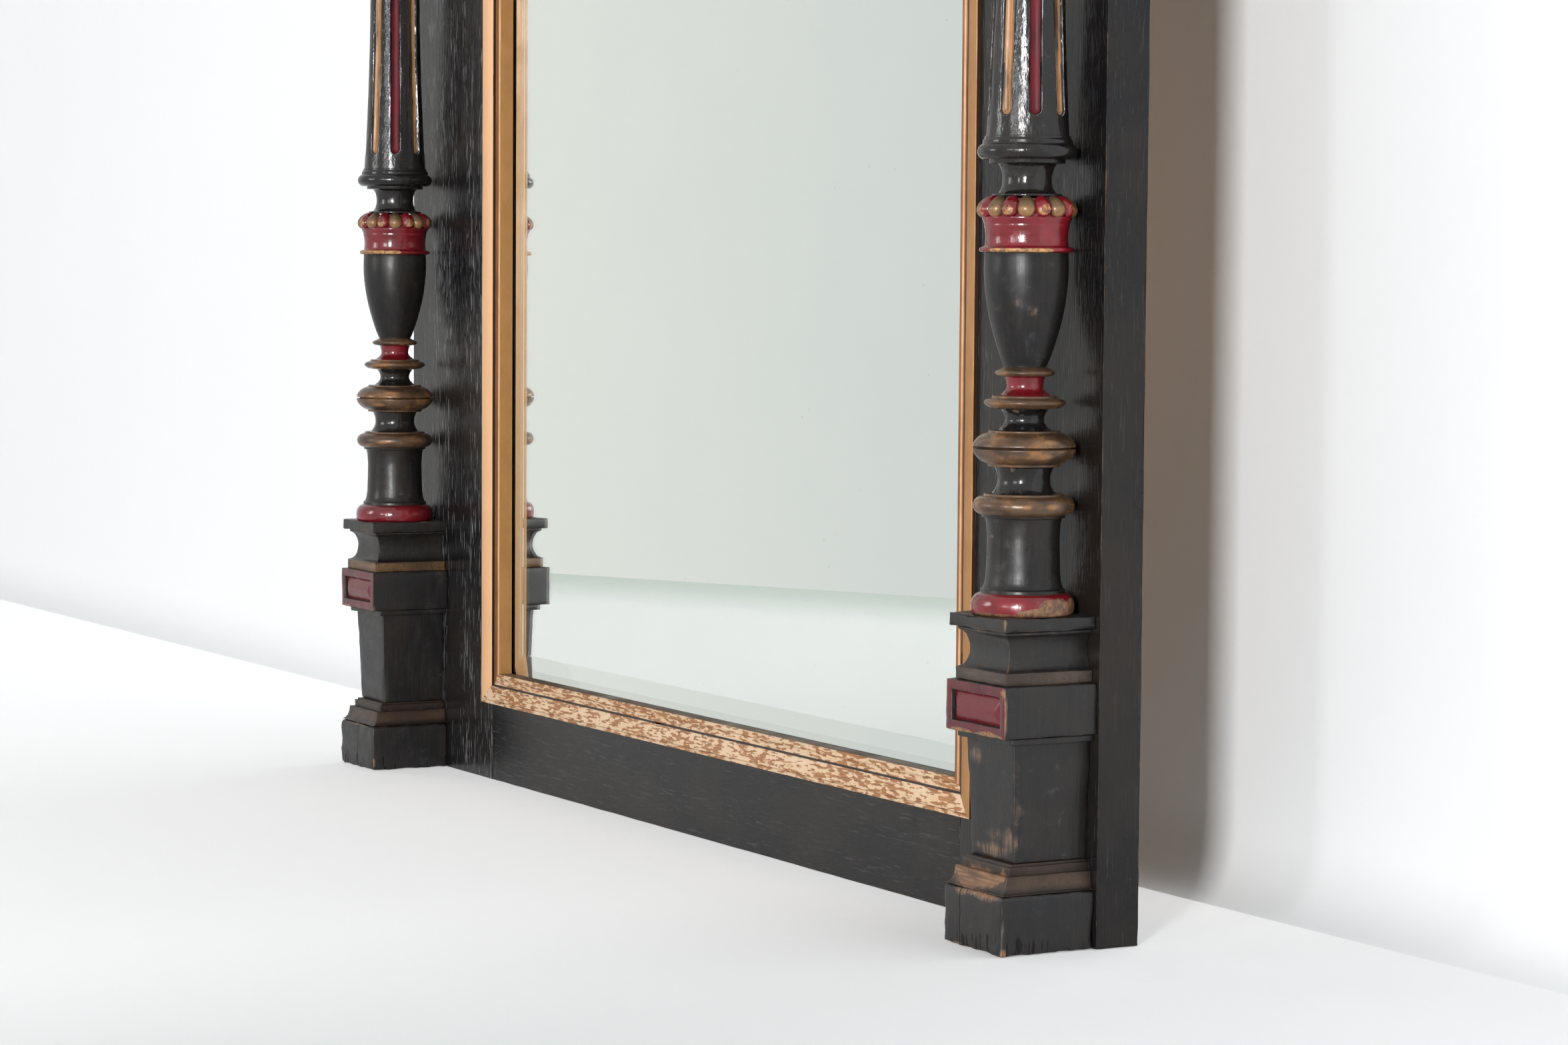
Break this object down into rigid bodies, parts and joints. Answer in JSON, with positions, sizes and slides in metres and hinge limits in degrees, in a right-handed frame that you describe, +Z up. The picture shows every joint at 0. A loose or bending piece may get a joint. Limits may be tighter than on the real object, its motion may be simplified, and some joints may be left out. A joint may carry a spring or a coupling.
{
  "type": "overmantel mirror",
  "caption": "Tall overmantel mirror: ebonised frame with a gilt slip round bevelled glass, flanked by turned columns on plinths under a deep cornice.",
  "frame": {"origin": "middle of the base on the floor or mantel shelf, centred left to right and front to back", "axes": "+X to the viewer's right, -Y towards the viewer, +Z up; the back lies in the plane of largest Y"},
  "size_m": [1.177, 0.1532, 1.5779],
  "materials": {
    "ebonised_oak": "open-grained oak, ebonised and waxed, with specks and scuffs in the grain",
    "ebonised_wood": "close-grained turned and moulded wood, ebonised, satin, worn to brown on its edges",
    "oxblood_lacquer": "oxblood red gloss lacquer over wood, chipped and worn",
    "bronzed_wood": "bronze-brown lacquer over wood, worn to bare wood",
    "gilt_wood": "dull peach-gold gilding, flaked to the ground on its lower length",
    "pine": "raw softwood",
    "brass": "dull brass",
    "mirror_glass": "silvered plate glass with a wide bevel, faintly green"
  },
  "bodies": {
    "root": {"stile_left": "ebonised_oak", "stile_right": "ebonised_oak", "bottom_rail": "ebonised_oak", "top_rail": "ebonised_oak", "tenon_pegs": "pine", "slip_left": "gilt_wood", "slip_right": "gilt_wood", "slip_bottom": "gilt_wood", "slip_top": "gilt_wood", "slip_nails": "brass", "mirror_glass": "mirror_glass", "glass_shims": "pine", "back_board_1": "pine", "back_board_2": "pine", "back_board_3": "pine", "back_board_4": "pine", "board_screws": "brass", "base_block_left": "ebonised_wood", "base_block_right": "ebonised_wood", "base_moulding_left": "bronzed_wood", "base_moulding_right": "bronzed_wood", "pedestal_left": "ebonised_wood", "pedestal_right": "ebonised_wood", "panel_block_left": "ebonised_wood", "panel_block_right": "ebonised_wood", "panel_field_left": "oxblood_lacquer", "panel_field_right": "oxblood_lacquer", "cove_moulding_left": "ebonised_wood", "cove_moulding_right": "ebonised_wood", "cap_plate_left": "ebonised_wood", "cap_plate_right": "ebonised_wood", "column_foot_left": "ebonised_wood", "column_foot_right": "ebonised_wood", "column_urn_left": "ebonised_wood", "column_urn_right": "ebonised_wood", "bead_ring_left": "oxblood_lacquer", "bead_ring_right": "oxblood_lacquer", "column_collar_left": "ebonised_wood", "column_collar_right": "ebonised_wood", "column_shaft_left": "ebonised_wood", "column_shaft_right": "ebonised_wood", "column_capital_left": "ebonised_wood", "column_capital_right": "ebonised_wood", "column_dowels": "pine", "abacus_left": "ebonised_wood", "abacus_right": "ebonised_wood", "upper_block_left": "ebonised_wood", "upper_block_right": "ebonised_wood", "upper_field_left": "oxblood_lacquer", "upper_field_right": "oxblood_lacquer", "architrave": "gilt_wood", "frieze_panel": "ebonised_wood", "frieze_field": "oxblood_lacquer", "soffit_board": "ebonised_wood", "cornice_back": "pine", "bed_moulding": "ebonised_wood", "corona": "ebonised_wood", "crown_moulding": "ebonised_wood", "top_board": "ebonised_wood", "wall_plates": "brass"}
  },
  "joints": []
}
